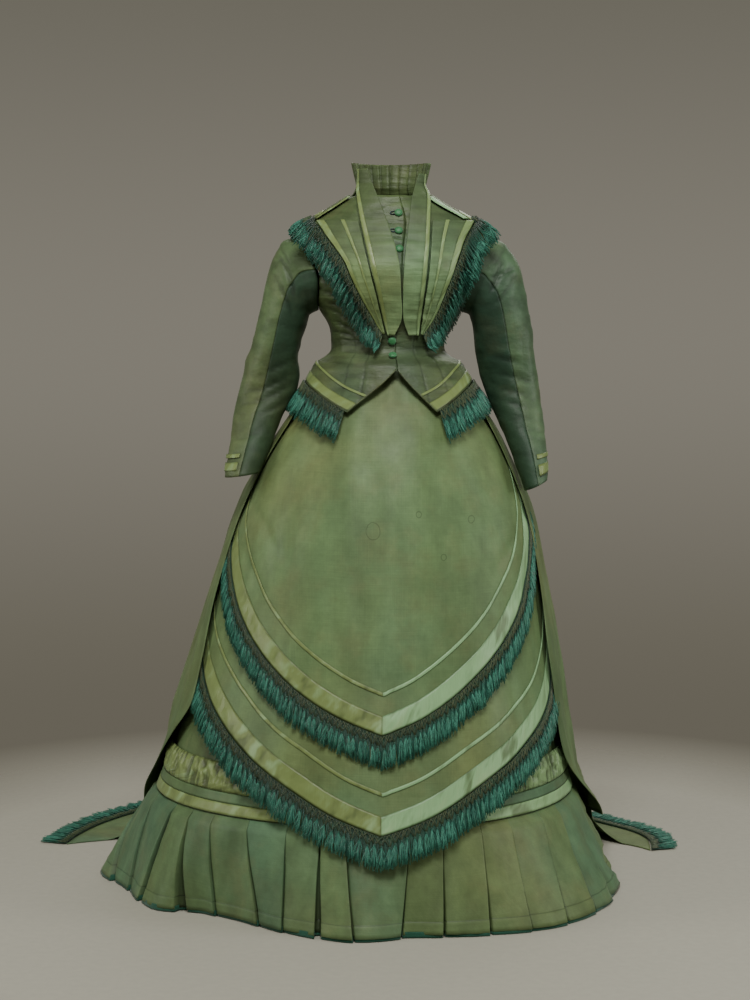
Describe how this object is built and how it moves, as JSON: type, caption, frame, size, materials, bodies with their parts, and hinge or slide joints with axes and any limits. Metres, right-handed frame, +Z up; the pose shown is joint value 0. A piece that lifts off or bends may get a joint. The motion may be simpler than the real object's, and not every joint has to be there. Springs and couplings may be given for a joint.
{
  "type": "victorian dress",
  "caption": "Two-piece bustle dress with a fitted jacket bodice, pointed aprons, fringe and a train; worn by a wearer who holds it up at the waist.",
  "frame": {"origin": "centre of the waist, 1.10 m above the floor that the hem and train rest on, where the wearer holds the dress up", "axes": "+Z up along the wearer's body, -Y towards the front of the dress, +X towards the wearer's left"},
  "size_m": [1.3942, 1.4311, 1.4799],
  "materials": {
    "taffeta": "satin",
    "satin": "glossy",
    "fringe": "matte",
    "button": "matte",
    "braid": "matte"
  },
  "bodies": {
    "root": {"basque_fringe_back": "fringe", "basque_fringe_left": "fringe", "basque_fringe_right": "fringe", "basque_piping_left": "satin", "basque_piping_right": "satin", "basque_satin_left": "satin", "basque_satin_right": "satin", "bodice_back_left": "taffeta", "bodice_back_right": "taffeta", "bodice_front_left": "taffeta", "bodice_front_right": "taffeta", "brush_braid": "braid", "button_1": "button", "button_2": "button", "button_3": "button", "button_4": "button", "button_5": "button", "collar_fringe": "fringe", "cuff_band_a_left": "satin", "cuff_band_a_right": "satin", "cuff_band_b_left": "satin", "cuff_band_b_right": "satin", "facing_left": "taffeta", "facing_right": "taffeta", "facing_satin_left": "satin", "facing_satin_right": "satin", "flounce": "taffeta", "lapel_fringe_left": "fringe", "lapel_fringe_right": "fringe", "lower_apron": "taffeta", "lower_apron_fringe": "fringe", "lower_apron_piping": "satin", "lower_apron_satin": "satin", "overskirt": "taffeta", "plain_band": "taffeta", "revers_left": "taffeta", "revers_piping_left": "satin", "revers_piping_right": "satin", "revers_right": "taffeta", "revers_satin_left": "satin", "revers_satin_right": "satin", "ruched_band": "satin", "satin_band": "satin", "shoulder_collar": "taffeta", "shoulder_satin": "satin", "sleeve_under_left": "taffeta", "sleeve_under_right": "taffeta", "sleeve_upper_left": "taffeta", "sleeve_upper_right": "taffeta", "standing_collar": "taffeta", "train_fringe": "fringe", "underskirt": "taffeta", "upper_apron": "taffeta", "upper_apron_fringe": "fringe", "upper_apron_piping": "satin", "upper_apron_satin": "satin"}
  },
  "joints": []
}
